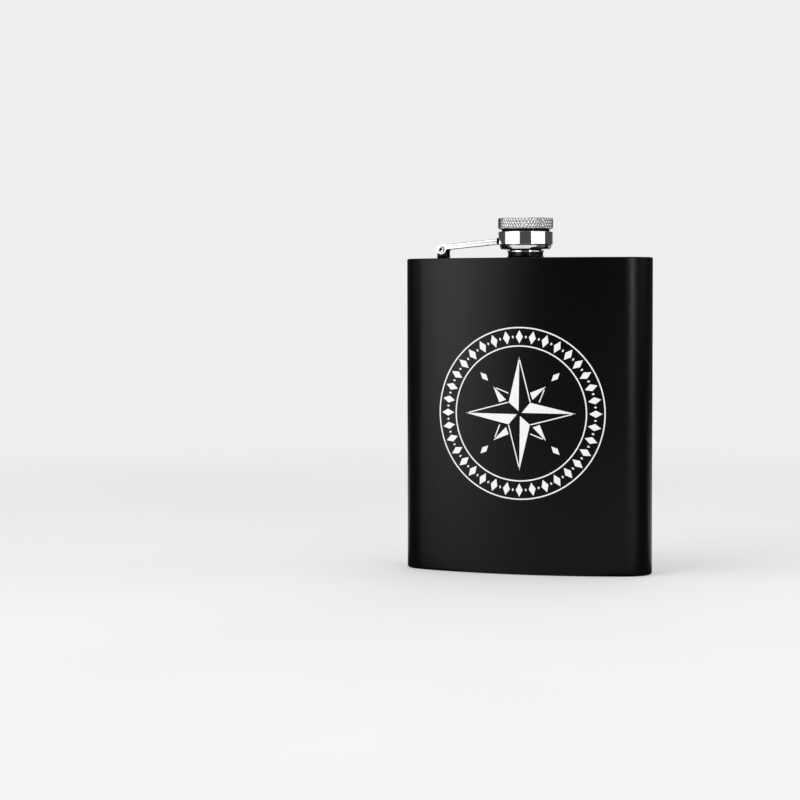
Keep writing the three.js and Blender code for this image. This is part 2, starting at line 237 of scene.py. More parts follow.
def rounded(corners, steps=5, closed=False):
    """A profile through corners given as [across, up] or [across, up, radius]. A radius turns the corner
    into an arc that touches both of its sides, with an extra point just past each end of the arc so that
    smooth shading doesn't reach into the straight sides."""
    spots = np.array([corner[:2] for corner in corners], float)
    radii = [corner[2] if len(corner) > 2 else 0 for corner in corners]
    made = []
    for i, radius in enumerate(radii):
        at = spots[i]
        if radius == 0 or (not closed and i in (0, len(radii) - 1)):
            made.append(at[None])
            continue
        back = spots[i - 1] - at
        ahead = spots[(i + 1) % len(spots)] - at
        back = back / np.linalg.norm(back)
        ahead = ahead / np.linalg.norm(ahead)
        half = math.acos(np.clip(back @ ahead, -1, 1)) / 2
        middle = (back + ahead) / np.linalg.norm(back + ahead)
        centre = at + middle * radius / math.sin(half)
        sweep = np.linspace(-1, 1, steps + 1) * (QUARTER - half)
        side = ahead - (ahead @ middle) * middle
        side = side / np.linalg.norm(side)
        arc = centre + radius * (np.outer(np.sin(sweep), side) - np.outer(np.cos(sweep), middle))
        made.append(np.vstack([arc[0] + GUARD * back, arc, arc[-1] + GUARD * ahead]))
    return np.concatenate(made)


def turned_rings(profile, columns, swell=None):
    """Rings about the upright axis of the neck and cap, one for each [radius, height above the plate] pair.
    swell adds to the radius by angle and height."""
    profile = np.asarray(profile, float)
    angle = np.linspace(0, TURN, columns, endpoint=False)[None, :]
    radius = np.broadcast_to(profile[:, :1], (len(profile), columns))
    height = np.broadcast_to(profile[:, 1:], radius.shape)
    if swell is not None:
        radius = radius + swell(radius, angle, height)
    return np.stack([radius * np.cos(angle), AXIS_Y + radius * np.sin(angle), TOP + height], -1)


def turned(name, profile, columns, swell=None, ends=()):
    """A turned piece with a profile. Its rows join up, or a pole at each of two end heights closes it."""
    poles = [(0, AXIS_Y, TOP + height) for height in ends]
    return skin_rings(name, turned_rings(profile, columns, swell), wrap_rows=not poles, poles=poles)


def dense(profile, step, low, high):
    """Adds points a step apart where a straight side of the profile runs between two heights."""
    made = [profile[0]]
    for start, end in zip(profile[:-1], profile[1:]):
        rise = abs(end[1] - start[1])
        inside = min(start[1], end[1]) >= low - 1e-6 and max(start[1], end[1]) <= high + 1e-6
        count = max(1, round(rise / step)) if inside else 1
        share = np.linspace(0, 1, count + 1)[1:, None]
        made.extend(start + share * (end - start))
    return np.array(made)


def belongs(piece, body, node, material):
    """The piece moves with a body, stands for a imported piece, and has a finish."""
    piece.data.materials.append(material)
    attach(piece, body)
    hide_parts(node)


# ---- shared surface effects ----
MASK_RANGE = (0.3, 0.7)  # the part of a noise mask's range that a finish uses
MARKS_ALONG = 60.0  # how fast tool marks change around the axis


def new_group(name, inputs, outputs):
    """An empty shader group with float inputs and float outputs, and its end nodes."""
    group = bpy.data.node_groups.new(name, "ShaderNodeTree")
    for label, value in inputs.items():
        socket = group.interface.new_socket(label, in_out="INPUT", socket_type="NodeSocketFloat")
        socket.default_value = value
    group.interface.new_socket("Place", in_out="INPUT", socket_type="NodeSocketVector")
    for label in outputs:
        group.interface.new_socket(label, in_out="OUTPUT", socket_type="NodeSocketFloat")
    start = group.nodes.new("NodeGroupInput")
    end = group.nodes.new("NodeGroupOutput")
    return group, start, end


def math_node(tree, operation, first, second=None):
    """A Math node fed by sockets or plain numbers; gives its output socket."""
    node = tree.nodes.new("ShaderNodeMath")
    node.operation = operation
    for socket, value in zip(node.inputs, (first, second)):
        if isinstance(value, bpy.types.NodeSocket):
            tree.links.new(value, socket)
        elif value is not None:
            socket.default_value = value
    return node.outputs[0]


def noise_value(tree, place, scale, detail, roughness):
    """A noise texture's value at a place, with a scale given as a socket or a number."""
    node = tree.nodes.new("ShaderNodeTexNoise")
    tree.links.new(place, node.inputs["Vector"])
    if isinstance(scale, bpy.types.NodeSocket):
        tree.links.new(scale, node.inputs["Scale"])
    else:
        node.inputs["Scale"].default_value = scale
    node.inputs["Detail"].default_value = detail
    node.inputs["Roughness"].default_value = roughness
    return node.outputs[0]


def map_range(tree, value, span, result, interpolation="LINEAR"):
    """A Map Range node that carries one span of values to another; gives its output socket."""
    node = tree.nodes.new("ShaderNodeMapRange")
    node.interpolation_type = interpolation
    for label, number in zip(("From Min", "From Max", "To Min", "To Max"), (*span, *result)):
        node.inputs[label].default_value = number
    tree.links.new(value, node.inputs["Value"])
    return node.outputs[0]


def grain_group():
    """Fine grain and broad unevenness: a mask from small noise, and another from large soft noise."""
    group, start, end = new_group("grain", {"Fine": 4000.0, "Broad": 25.0}, ["Grain", "Cloud"])
    fine = noise_value(group, start.outputs["Place"], start.outputs["Fine"], 3.0, 0.6)
    broad = noise_value(group, start.outputs["Place"], start.outputs["Broad"], 3.0, 0.55)
    group.links.new(fine, end.inputs["Grain"])
    group.links.new(broad, end.inputs["Cloud"])
    return group


def lathe_group():
    """Tool marks of a turned piece: noise that changes fast with height and distance from the cap's axis, and
    hardly at all around it."""
    group, start, end = new_group("lathe_marks", {"Fineness": 9000.0}, ["Marks"])
    split = group.nodes.new("ShaderNodeSeparateXYZ")
    group.links.new(start.outputs["Place"], split.inputs[0])
    away = math_node(group, "SUBTRACT", split.outputs["Y"], AXIS_Y * MM)
    square_x = math_node(group, "MULTIPLY", split.outputs["X"], split.outputs["X"])
    square_y = math_node(group, "MULTIPLY", away, away)
    radius = math_node(group, "SQRT", math_node(group, "ADD", square_x, square_y))
    along = math_node(group, "ADD", radius, split.outputs["Z"])
    join = group.nodes.new("ShaderNodeCombineXYZ")
    group.links.new(math_node(group, "MULTIPLY", along, start.outputs["Fineness"]), join.inputs["X"])
    group.links.new(math_node(group, "MULTIPLY", split.outputs["X"], MARKS_ALONG), join.inputs["Y"])
    group.links.new(math_node(group, "MULTIPLY", split.outputs["Y"], MARKS_ALONG), join.inputs["Z"])
    marks = noise_value(group, join.outputs[0], 1.0, 2.0, 0.6)
    group.links.new(marks, end.inputs["Marks"])
    return group


GRAIN = grain_group()
LATHE = lathe_group()


class Finish:
    """A material under construction: its tree, its Principled shader and the object's own coordinates."""

    def __init__(self, name, **constants):
        self.material = bpy.data.materials.new(name)
        self.material.use_nodes = True
        self.tree = self.material.node_tree
        self.shader = self.tree.nodes["Principled BSDF"]
        self.place = self.tree.nodes.new("ShaderNodeTexCoord").outputs["Object"]
        for label, value in constants.items():
            self.shader.inputs[label.replace("_", " ")].default_value = value

    def effect(self, group, **values):
        """Places a shared effect and returns the node."""
        node = self.tree.nodes.new("ShaderNodeGroup")
        node.node_tree = group
        self.tree.links.new(self.place, node.inputs["Place"])
        for label, value in values.items():
            node.inputs[label].default_value = value
        return node

    def gloss(self, value, low, high):
        """Feeds the roughness with a mask stretched between two values."""
        stretched = map_range(self.tree, value, MASK_RANGE, (low, high))
        self.tree.links.new(stretched, self.shader.inputs["Roughness"])

    def tint(self, value, dark, light):
        """Feeds the base colour with a mix of two colours by a mask."""
        ramp = self.tree.nodes.new("ShaderNodeValToRGB")
        for stop, position, colour in zip(ramp.color_ramp.elements, MASK_RANGE, (dark, light)):
            stop.position = position
            stop.color = (*colour, 1)
        self.tree.links.new(value, ramp.inputs[0])
        self.tree.links.new(ramp.outputs[0], self.shader.inputs["Base Color"])

    def bump(self, value, depth, strength=0.5):
        """Feeds the normal with a bump of a depth in millimetres."""
        node = self.tree.nodes.new("ShaderNodeBump")
        node.inputs["Distance"].default_value = depth * MM
        node.inputs["Strength"].default_value = strength
        self.tree.links.new(value, node.inputs["Height"])
        self.tree.links.new(node.outputs[0], self.shader.inputs["Normal"])


def grained(name, scales, tones, roughness, depth, masks="CCG", **constants):
    """A material whose colour, roughness and bump follow the grain effect, whose scales are fine and broad.
    The letters of masks say which mask each of the three follows: C for cloud or G for grain."""
    finish = Finish(name, **constants)
    grain = finish.effect(GRAIN, Fine=scales[0], Broad=scales[1])
    sources = {"C": grain.outputs["Cloud"], "G": grain.outputs["Grain"]}
    finish.tint(sources[masks[0]], *tones)
    finish.gloss(sources[masks[1]], *roughness)
    finish.bump(sources[masks[2]], depth)
    return finish.material


def powder_coat():
    """Matte black powder coat: a fine pebbled skin whose gloss is slightly uneven."""
    tones = ((0.0007, 0.0007, 0.0008), (0.0011, 0.0011, 0.0012))
    return grained("black_powder_coat", (2600, 28), tones, (0.255, 0.285), 0.004, Specular_IOR_Level=0.14)


def painted_shade_coat():
    """Dull black painted shade, put on the narrow gaps and undercuts where shadow falls."""
    tones = ((0.002, 0.002, 0.002), (0.004, 0.004, 0.004))
    return grained("painted_shade_black", (2600, 60), tones, (0.6, 0.7), 0.004, Specular_IOR_Level=0.1)


def bright_steel(name, dark, light, smooth, rough, marks_depth):
    """Stainless steel with turned tool marks, from nearly a mirror to satin."""
    finish = Finish(name, Metallic=1.0)
    marks = finish.effect(LATHE, Fineness=9000.0)
    finish.tint(marks.outputs["Marks"], dark, light)
    finish.gloss(marks.outputs["Marks"], smooth, rough)
    finish.bump(marks.outputs["Marks"], marks_depth)
    return finish.material


def pressed_steel():
    """Polished strip steel of the arm and rivet, with faint unevenness from the press and the polishing."""
    tones = ((0.66, 0.66, 0.655), (0.72, 0.72, 0.71))
    return grained("pressed_steel", (5000, 180), tones, (0.14, 0.2), 0.004, "CCC", Metallic=1)


def knurled_steel():
    """Cut steel of the grip: bright on the diamonds' crests, and darker and duller down in the cuts; the
    darker colour there is painted shade.
    """
    finish = Finish("knurled_steel", Metallic=1.0)
    crest = finish.tree.nodes.new("ShaderNodeAttribute")
    crest.attribute_name = "crest"
    # colour follows crest height: the darker tone in the cuts is painted shade
    finish.tint(crest.outputs["Fac"], (0.36, 0.36, 0.358), (0.68, 0.68, 0.675))
    finish.gloss(crest.outputs["Fac"], 0.3, 0.12)
    marks = finish.effect(LATHE, Fineness=7000.0)
    finish.bump(marks.outputs["Marks"], 0.004, 0.6)
    return finish.material


def moulded_plastic():
    """Off-white polypropylene with a faint flow pattern."""
    tones = ((0.74, 0.73, 0.69), (0.82, 0.81, 0.77))
    soft = {"Subsurface_Weight": 0.15, "Subsurface_Scale": MM}
    return grained("liner_plastic", (3000, 120), tones, (0.36, 0.46), 0.004, **soft)


def soft_silicone():
    """Milky silicone of the seal, dull and slightly dusty."""
    tones = ((0.58, 0.57, 0.54), (0.68, 0.67, 0.63))
    return grained("seal_silicone", (2200, 200), tones, (0.58, 0.72), 0.006, "CGG", Sheen_Weight=0.15)


def engraved_white():
    """Laser-marked ornament: bare frosted metal that reads as nearly white, with a fine speckle."""
    tones = ((0.66, 0.66, 0.655), (0.80, 0.80, 0.795))
    return grained("engraved_white", (5200, 90), tones, (0.55, 0.68), 0.006, "GCG")


BLACK = powder_coat()
MIRROR = bright_steel("polished_steel", (0.66, 0.66, 0.65), (0.71, 0.71, 0.70), 0.05, 0.10, 0.0015)
TURNED = bright_steel("turned_steel", (0.60, 0.60, 0.59), (0.68, 0.68, 0.67), 0.09, 0.16, 0.003)
# dull black that stands in for the shadow in gaps and undercuts: painted shade
PAINTED_SHADE = painted_shade_coat()
STRIP = pressed_steel()
KNURLED = knurled_steel()
PLASTIC = moulded_plastic()
SILICONE = soft_silicone()
ENGRAVED = engraved_white()


# ---- the body ----
def body_sleeve():
    """The wrapped wall: a thin upright loop of profile carried round the section."""
    low = BASE_ROUND
    high = TOP - PLATE
    loop = [(0, low), (0, high), (SHEET, high), (SHEET, low)]
    piece = skin_rings("body_sleeve", kidney_rings(loop), wrap_rows=True)
    belongs(piece, "flask", "body_sleeve", BLACK)


def top_plate():
    """The pressed top: flat from the neck's hole to a small edge round, with a skirt inside the wall. Between
    the hole and the edge, rings pass straight from the circle to the section's outline."""
    hole = FLANGE - HOLE_LAP
    under = TOP - PLATE
    inner = SKIRT_INSET + SHEET
    outside = rounded([
        (PAN_INSET, TOP),
        (0, TOP, RIM_ROUND),
        (0, under),
        (SKIRT_INSET, under),
        (SKIRT_INSET, under - SKIRT_DEPTH),
        (inner, under - SKIRT_DEPTH),
        (inner, under),
        (PAN_INSET, under),
    ])
    rings = kidney_rings(outside)
    centre = np.array([0, AXIS_Y, 0])
    spoke = rings[0] - centre
    spoke[:, 2] = 0
    circle = centre + spoke * hole / np.linalg.norm(spoke, axis=1, keepdims=True)
    circle_top = circle + np.array([0, 0, TOP])
    circle_under = circle + np.array([0, 0, under])
    between = np.linspace(0, 1, 5)[1:-1, None, None]
    inwards_under = rings[-1] + between * (circle_under - rings[-1])
    outwards_top = circle_top + between * (rings[0] - circle_top)
    whole = np.concatenate([rings, inwards_under, circle_under[None], circle_top[None], outwards_top])
    piece = skin_rings("top_plate", whole, wrap_rows=True)
    belongs(piece, "flask", "top_plate", BLACK)


def bottom_plate():
    """The pressed base: a rounded outer edge, a flat rim to stand on, and a panel raised inside the rim."""
    panel = PAN_RISE + PLATE
    inner = SHEET + BASE_ROUND
    under = kidney_rings(rounded([
        (PAN_INSET + 3, PAN_RISE),
        (PAN_INSET + 0.6, PAN_RISE, 0.5),
        (PAN_INSET - 0.2, 0, 0.5),
        (0, 0, BASE_ROUND),
        (0, BASE_ROUND),
    ]))
    above = kidney_rings(rounded([
        (SHEET, BASE_ROUND),
        (inner, PLATE, 0.6),
        (PAN_INSET - 0.6, PLATE, 0.4),
        (PAN_INSET, panel, 0.4),
        (PAN_INSET + 3, panel),
    ]))
    centre = np.array([0, AXIS_Y, 0])
    low_pole = centre + np.array([0, 0, PAN_RISE])
    high_pole = centre + np.array([0, 0, panel])
    opening = shrunk_rings(under[0], [0.25, 0.5, 0.75], low_pole)
    closing = shrunk_rings(above[-1], [0.75, 0.5, 0.25], high_pole)
    rings = np.concatenate([opening, under, above, closing])
    piece = skin_rings("bottom_plate", rings, poles=(low_pole, high_pole))
    belongs(piece, "flask", "bottom_plate", BLACK)


# ---- the neck ----
BORE = 5.2
NECK_WALL = 5.95
FOOT = 6.65
BEAD = 6.95
BEAD_FROM = 2.1
BEAD_TO = 2.8
THREAD_PITCH = 2.2
THREAD_FROM = 3.6
THREAD_TO = 11.0
THREAD_DEPTH = 0.6
THREAD_COLUMNS = 180
PLAIN_COLUMNS = 256
THREAD_STEP = 0.12


def thread(wall, low, high, depth, phase):
    """A right-hand thread as a swelling of a wall: a rounded ridge that climbs one pitch each turn, and grows
    from nothing over the first and the last pitch. A negative depth stands inwards."""
    def swell(radius, angle, height):
        turn = height / THREAD_PITCH - angle / TURN + phase
        wave = 0.5 + 0.5 * np.cos(TURN * turn)
        ridge = wave * wave * (3 - 2 * wave)
        fade = np.clip(np.minimum(height - low, high - height) / THREAD_PITCH, 0, 1)
        return np.where(np.abs(radius - wall) < 0.01, depth * ridge * fade, 0)
    return swell


def neck_foot():
    """The black coated foot of the neck, with the weld's hollow curve down to the plate."""
    weld = 0.7
    loop = rounded([
        (BORE + 0.9, -PLATE),
        (BORE + 0.9, BEAD_FROM),
        (FOOT, BEAD_FROM, 0.1),
        (FOOT, weld, 0.4),
        (FOOT + weld, 0.02),
        (FOOT, -0.3),
        (FOOT, -PLATE),
    ], closed=True)
    piece = turned("neck_foot", loop, THREAD_COLUMNS)
    belongs(piece, "flask", "neck", BLACK)


def neck():
    """The turned spout: a flange under the plate, a rounded bead, an outside thread and a rounded mouth."""
    under = -PLATE - 0.1
    wall = rounded([
        (BORE, under - PLATE),
        (FLANGE, under - PLATE, 0.15),
        (FLANGE, under, 0.15),
        (BORE + 0.8, under),
        (BORE + 0.8, BEAD_FROM + 0.05),
        (BEAD, BEAD_FROM + 0.05, 0.12),
        (BEAD, BEAD_TO, 0.15),
        (NECK_WALL, BEAD_TO, 0.08),
        (NECK_WALL, NECK_TOP, 0.3),
        (BORE, NECK_TOP, 0.3),
        (BORE, NECK_TOP - 1),
    ])
    wall = dense(wall, THREAD_STEP, BEAD_TO, NECK_TOP)
    swell = thread(NECK_WALL, THREAD_FROM, THREAD_TO, THREAD_DEPTH, 0)
    # a dull black band over the neck wall between bead and thread: painted shade, as that wall lies in the
    # cap's shadow
    shaded_band = [(NECK_WALL - 0.1, BEAD_TO + 0.02), (NECK_WALL + 0.12, BEAD_TO + 0.02),
              (NECK_WALL + 0.12, THREAD_FROM), (NECK_WALL - 0.1, THREAD_FROM)]
    ring = turned("neck_shade_band", shaded_band, THREAD_COLUMNS)
    belongs(ring, "flask", "neck", PAINTED_SHADE)
    piece = turned("neck", wall, THREAD_COLUMNS, swell)
    belongs(piece, "flask", "neck", TURNED)


# ---- shapes cut from one another ----
THROUGH = 9  # half length of a tool that cuts right through the arm or the lug
EDGE = 0.1  # width of the small bevels on cut edges


def prism(name, outline, low, high, lay):
    """A flat outline of [across, up] pairs raised between two depths, with lay placing its three axes."""
    outline = np.asarray(outline, float)
    count = len(outline)
    columns = [lay(outline[:, 0], outline[:, 1], np.full(count, depth)) for depth in (low, high)]
    points = np.concatenate([np.stack(column, -1) for column in columns])
    mesh = bpy.data.meshes.new(name)
    index = np.arange(count)
    after = (index + 1) % count
    sides = np.column_stack([index, after, after + count, index + count])
    inside = enclosed_volume(points - points.mean(0), sides)
    ends = [index[::-1].tolist(), (index + count).tolist()]
    faces = sides.tolist() + ends
    if inside < 0:
        faces = [face[::-1] for face in faces]
    mesh.from_pydata((points * MM).tolist(), [], faces)
    return placed(name, mesh)


def along_y(across, up, depth):
    """Outline in the side view, raised along Y."""
    return across, depth, up


def along_x(across, up, depth):
    """Outline in the end view, raised along X."""
    return depth, across, up


def apply_modifiers(piece):
    """Gives a piece the mesh that its modifiers make, and takes the modifiers away."""
    bpy.context.view_layer.update()
    made = bpy.data.meshes.new_from_object(piece.evaluated_get(bpy.context.evaluated_depsgraph_get()))
    piece.modifiers.clear()
    piece.data = made


def combined(piece, tool, operation):
    """Cuts, joins or intersects a piece with a tool, and deletes the tool."""
    step = piece.modifiers.new(operation, "BOOLEAN")
    step.operation = operation
    step.solver = "EXACT"
    step.object = tool
    apply_modifiers(piece)
    bpy.data.objects.remove(tool)


def eased(piece, width):
    """Rounds the edges of a cut piece with small bevels, and shades it smooth with its wide sides flat."""
    piece.data.shade_smooth()
    step = piece.modifiers.new("edges", "BEVEL")
    step.width = width * MM
    step.segments = 3
    step.limit_method = "ANGLE"
    step.angle_limit = math.radians(32)
    even = piece.modifiers.new("flat_sides", "WEIGHTED_NORMAL")
    even.weight = 100
    even.keep_sharp = True
    apply_modifiers(piece)


def bent_strip(half, top, low, sheet, fold):
    """End view of a strip folded into a channel that is open below: a web on top and two sides."""
    inside = half - sheet
    return rounded([
        (-half, low),
        (-half, top, fold),
        (half, top, fold),
        (half, low),
        (inside, low),
        (inside, top - sheet, fold - sheet),
        (-inside, top - sheet, fold - sheet),
        (-inside, low),
    ], steps=6, closed=True)


def round_bar(radius):
    """A tool for the rivet's holes: a round bar along Y."""
    angle = np.linspace(0, TURN, 64, endpoint=False)
    outline = radius * np.column_stack([np.cos(angle), np.sin(angle)])
    return prism("hole", outline, -THROUGH, THROUGH, along_y)


# ---- the hinge ----
PIN_RADIUS = 0.75
ARM_HALF = (ARM_HIGH[1] - ARM_LOW[1]) / 2 - SKIN
ARM_SHEET = 0.8
ARM_FOLD = 1.05
ARM_DEPTH = 1.95
EYE = 1.8
ARM_TILT = math.radians(5.2)
WEB_FROM = 2.4
RUN_GAP = 0.2
LUG_HALF = ARM_HALF - ARM_SHEET - RUN_GAP
LUG_EAR = 1.6
LUG_FOOT = 1.9
PIN_UP = PIN[2] - TOP
PIN_PLACE = Matrix.Translation(Vector(PIN * MM))
ARM_PLACE = PIN_PLACE @ Matrix.Rotation(-ARM_TILT, 4, "Y")


def arc_points(radius, first, last, count):
    """Points on an arc about the rivet in the side view."""
    angle = np.linspace(first, last, count)
    return radius * np.column_stack([np.cos(angle), np.sin(angle)])


def hinge_lug():
    """The lug: a strip folded into a channel that opens upwards, its two ears cut round about the rivet."""
    strip = bent_strip(LUG_HALF, PIN_UP, -3 * EYE, ARM_SHEET, 1.0) * np.array([1, -1])
    piece = prism("hinge_lug", strip, -3 * LUG_FOOT, 3 * LUG_FOOT, along_x)
    floor = -PIN_UP + ARM_SHEET
    ear = arc_points(LUG_EAR, 0, math.pi, 40)
    base = [(-LUG_FOOT, floor), (-LUG_FOOT, -2 * PIN_UP), (LUG_FOOT, -2 * PIN_UP), (LUG_FOOT, floor)]
    outline = np.concatenate([ear, base])
    combined(piece, prism("side", outline, -THROUGH, THROUGH, along_y), "INTERSECT")
    combined(piece, round_bar(PIN_RADIUS + 0.06), "DIFFERENCE")
    piece.data.transform(PIN_PLACE)
    eased(piece, EDGE)
    belongs(piece, "flask", "hinge_lug", BLACK)


def about_rivet(profile):
    """Rings about the rivet's axis, one for each [radius, depth] pair of a profile."""
    angle = np.linspace(0, TURN, 72, endpoint=False)[None, :]
    radius = profile[:, :1]
    depth = np.broadcast_to(profile[:, 1:], (len(profile), angle.shape[1]))
    return np.stack([radius * np.cos(angle), depth, radius * np.sin(angle)], -1) + PIN


def hinge_pin():
    """The rivet: a low domed head behind, and in front a hollow end rolled outwards over the arm."""
    inner = ARM_HALF + SKIN + 0.1
    outer = inner + 0.5
    head = 1.3
    hollow = 0.5
    half = rounded([
        (0, outer),
        (head * 0.5, outer - 0.02, 0.6),
        (head, outer - 0.2, 0.2),
        (head, inner, 0.06),
        (PIN_RADIUS, inner),
        (PIN_RADIUS, -inner),
        (head, -inner, 0.06),
        (head, -outer + 0.12, 0.16),
        (head * 0.72, -outer, 0.3),
        (hollow, -outer + 0.15, 0.2),
        (hollow, -outer + 2, 0.1),
        (0, -outer + 2),
    ])
    poles = [PIN + np.array([0, outer, 0]), PIN + np.array([0, -outer + 2, 0])]
    piece = skin_rings("hinge_pin", about_rivet(half[1:-1]), poles=poles)
    belongs(piece, "flask", "hinge_pin", STRIP)
    # a dull black lining inside the rivet's hollow end: painted shade for the dark inside of the hole
    wall = [(hollow - 0.04, 0.22), (hollow - 0.04, 1.9), (hollow + 0.02, 1.95), (hollow + 0.02, 0.2)]
    hollow_shade = skin_rings("pin_hollow_shade", about_rivet(np.array(wall) - [0, outer]), wrap_rows=True)
    belongs(hollow_shade, "flask", "hinge_pin", PAINTED_SHADE)


def cap_arm():
    """The arm: a folded strip whose sides run on past its web to round eyes on the rivet. Its far end is cut
    straight, with a small burr on top, and a weld in the middle joins it to the collar."""
    reach = -PIN[0]
    end = reach - COLLAR - 0.05
    low = EYE - ARM_DEPTH
    burr_half = 2.6
    strip = bent_strip(ARM_HALF, EYE, -3 * EYE, ARM_SHEET, ARM_FOLD)
    piece = prism("cap_arm", strip, WEB_FROM, reach, along_x)
    for side in (-1, 1):
        inside = side * (ARM_HALF - ARM_SHEET)
        outside = side * ARM_HALF
        plate = [(inside, -2 * EYE), (outside, -2 * EYE), (outside, 2 * EYE), (inside, 2 * EYE)]
        combined(piece, prism("ear", plate, -2 * EYE, WEB_FROM + 0.01, along_x), "UNION")
    eye = arc_points(EYE, QUARTER, TURN + math.asin(low / EYE), 60)
    outline = np.concatenate([eye, [(end, low), (end, EYE)]])
    combined(piece, prism("side", outline, -THROUGH, THROUGH, along_y), "INTERSECT")
    burr = [(end - 0.9, EYE - 0.3), (end, EYE - 0.3), (end, EYE + 0.42), (end - 0.3, EYE + 0.1)]
    combined(piece, prism("burr", burr, -burr_half, burr_half, along_y), "UNION")
    combined(piece, round_bar(PIN_RADIUS + 0.1), "DIFFERENCE")
    piece.data.transform(ARM_PLACE)
    eased(piece, EDGE)
    belongs(piece, "arm", "cap_arm", STRIP)
    arm_weld(end - 0.05, low)


def arm_weld(start, low):
    """The weld between the arm's end and the collar: a short rounded pad, cut to the collar's curve. It is
    dull black, as painted shade for the shadowed gap there.
    """
    half = 2.3
    thick = 0.35
    corners = [(-half, low, thick), (half, low, thick), (half, EYE, thick), (-half, EYE, thick)]
    pad = rounded(corners, closed=True)
    piece = prism("arm_weld", pad, start, start + 1.2, along_x)
    piece.data.transform(ARM_PLACE)
    cutter = turned("cutter", [(COLLAR + 0.02, 0), (COLLAR + 0.02, 20)], 180, ends=(0, 20))
    combined(piece, cutter, "DIFFERENCE")
    eased(piece, EDGE / 2)
    # the weld takes the painted shade colour
    belongs(piece, "arm", "cap_arm", PAINTED_SHADE)


def swivel_collar():
    """The polished band: a plain ring with small round edges."""
    bore = 9.4
    loop = rounded([
        (bore, COLLAR_FROM, 0.1),
        (COLLAR, COLLAR_FROM, 0.08),
        (COLLAR, COLLAR_TO, 0.12),
        (bore, COLLAR_TO, 0.1),
    ], closed=True)
    piece = turned("swivel_collar", loop, PLAIN_COLUMNS)
    belongs(piece, "arm", "swivel_collar", MIRROR)


# ---- the cap ----
KNURLS = 56
KNURL_RISE = 1.09  # height between two rows of diamonds
KNURL_DEPTH = 0.16
KNURL_STEEP = 1.6  # how much of each cut is slope; the rest is the flat crest
KNURL_COLUMNS = 16 * KNURLS
KNURL_STEP = 0.095
PLAIN_CREST = 0.6  # crest value of the grip's uncut surfaces
CUP_BORE = 9.75
ROOF = 0.8


def zigzag(turns):
    """A wave of straight ramps: 1 at whole numbers and 0 halfway between them."""
    return 2 * np.abs(np.mod(turns, 1) - 0.5)


def knurl_height(angle, height):
    """Height of the diamonds from 0 in a cut to 1 on a crest. Two sets of straight V cuts wind round the grip
    in opposite directions; the lower of the two is what remains, and the crests are slightly worn flat."""
    around = KNURLS * angle / TURN
    up = height / KNURL_RISE
    left = zigzag(around + up / 2)
    right = zigzag(around - up / 2)
    return np.minimum(1, KNURL_STEEP * np.minimum(left, right))


def cap_shell():
    """The grip: a cup with a diamond-knurled side, a chamfered shoulder and a slightly domed, turned top."""
    chamfer = 0.4
    face = GRIP - 0.02
    flat = face - 1.2
    dome = 0.12
    side = rounded([
        (CUP_BORE, CAP_TOP - ROOF, 0.3),
        (CUP_BORE, GRIP_FROM),
        (face - 0.3, GRIP_FROM, 0.05),
        (face, GRIP_FROM + 0.25),
        (face, CAP_TOP - chamfer),
        (face - 0.28, CAP_TOP - dome, 0.1),
        (flat, CAP_TOP - dome),
    ])
    side = dense(side, KNURL_STEP, GRIP_FROM, CAP_TOP - 0.12)
    low = GRIP_FROM + 0.12
    high = CAP_TOP - 0.2

    def cut(radius, height):
        return (radius > face - 0.25) & (height > low) & (height < high)

    def swell(radius, angle, height):
        return np.where(cut(radius, height), -KNURL_DEPTH * (1 - knurl_height(angle, height)), 0)

    rings = turned_rings(side, KNURL_COLUMNS, swell)
    top_radius = flat * (1 - np.linspace(0, 1, 6)[1:-1])
    top_height = CAP_TOP - dome * (top_radius / flat) ** 2
    top = turned_rings(np.column_stack([top_radius, top_height]), KNURL_COLUMNS)
    poles = [(0, AXIS_Y, TOP + CAP_TOP - ROOF), (0, AXIS_Y, TOP + CAP_TOP)]
    piece = skin_rings("cap_shell", np.concatenate([rings, top]), poles=poles)
    angle = np.linspace(0, TURN, KNURL_COLUMNS, endpoint=False)[None, :]
    height = np.concatenate([side[:, 1:], top_height[:, None]])
    radius = np.concatenate([side[:, :1], top_radius[:, None]])
    crest = np.where(cut(radius, height), knurl_height(angle, height), PLAIN_CREST).ravel()
    crest = np.append(crest, [PLAIN_CREST] * len(poles))
    layer = piece.data.attributes.new("crest", "FLOAT", "POINT")
    layer.data.foreach_set("value", crest.astype(np.float32))
    belongs(piece, "cap", "cap_shell", KNURLED)


SLEEVE_OUTER = 9.2
LIP_GAP = 0.34


def cap_sleeve():
    """The inner sleeve: below the collar it swells into a lip whose face leans inwards on its way down, so
    that it catches the light from the floor, and then rolls under."""
    bore = 8.7
    lip = 9.8
    low = INNER_FROM
    loop = rounded([
        (bore, COLLAR_TO),
        (bore, low + 0.6, 0.4),
        (bore - 0.2, low + 0.2, 0.1),
        (bore + 0.2, low, 0.2),
        (lip - 0.5, low, 0.15),
        (lip - 0.18, low + 0.7, 1.6),
        (lip, COLLAR_FROM - LIP_GAP - 0.03, 0.03),
        (lip - 0.1, COLLAR_FROM - LIP_GAP, 0.03),
        (SLEEVE_OUTER, COLLAR_FROM - LIP_GAP),
        (SLEEVE_OUTER, COLLAR_TO),
    ], steps=7, closed=True)
    piece = turned("cap_sleeve", loop, PLAIN_COLUMNS)
    belongs(piece, "cap", "cap_sleeve", MIRROR)


def shade_ring(name, inner, outer, low, high):
    """A plain dull black ring of painted shade, for the narrow gaps on either side of the collar."""
    loop = rounded([(inner, low), (outer, low, 0.04), (outer, high, 0.04), (inner, high)], closed=True)
    piece = turned(name, loop, PLAIN_COLUMNS)
    belongs(piece, "cap", "cap_sleeve", PAINTED_SHADE)


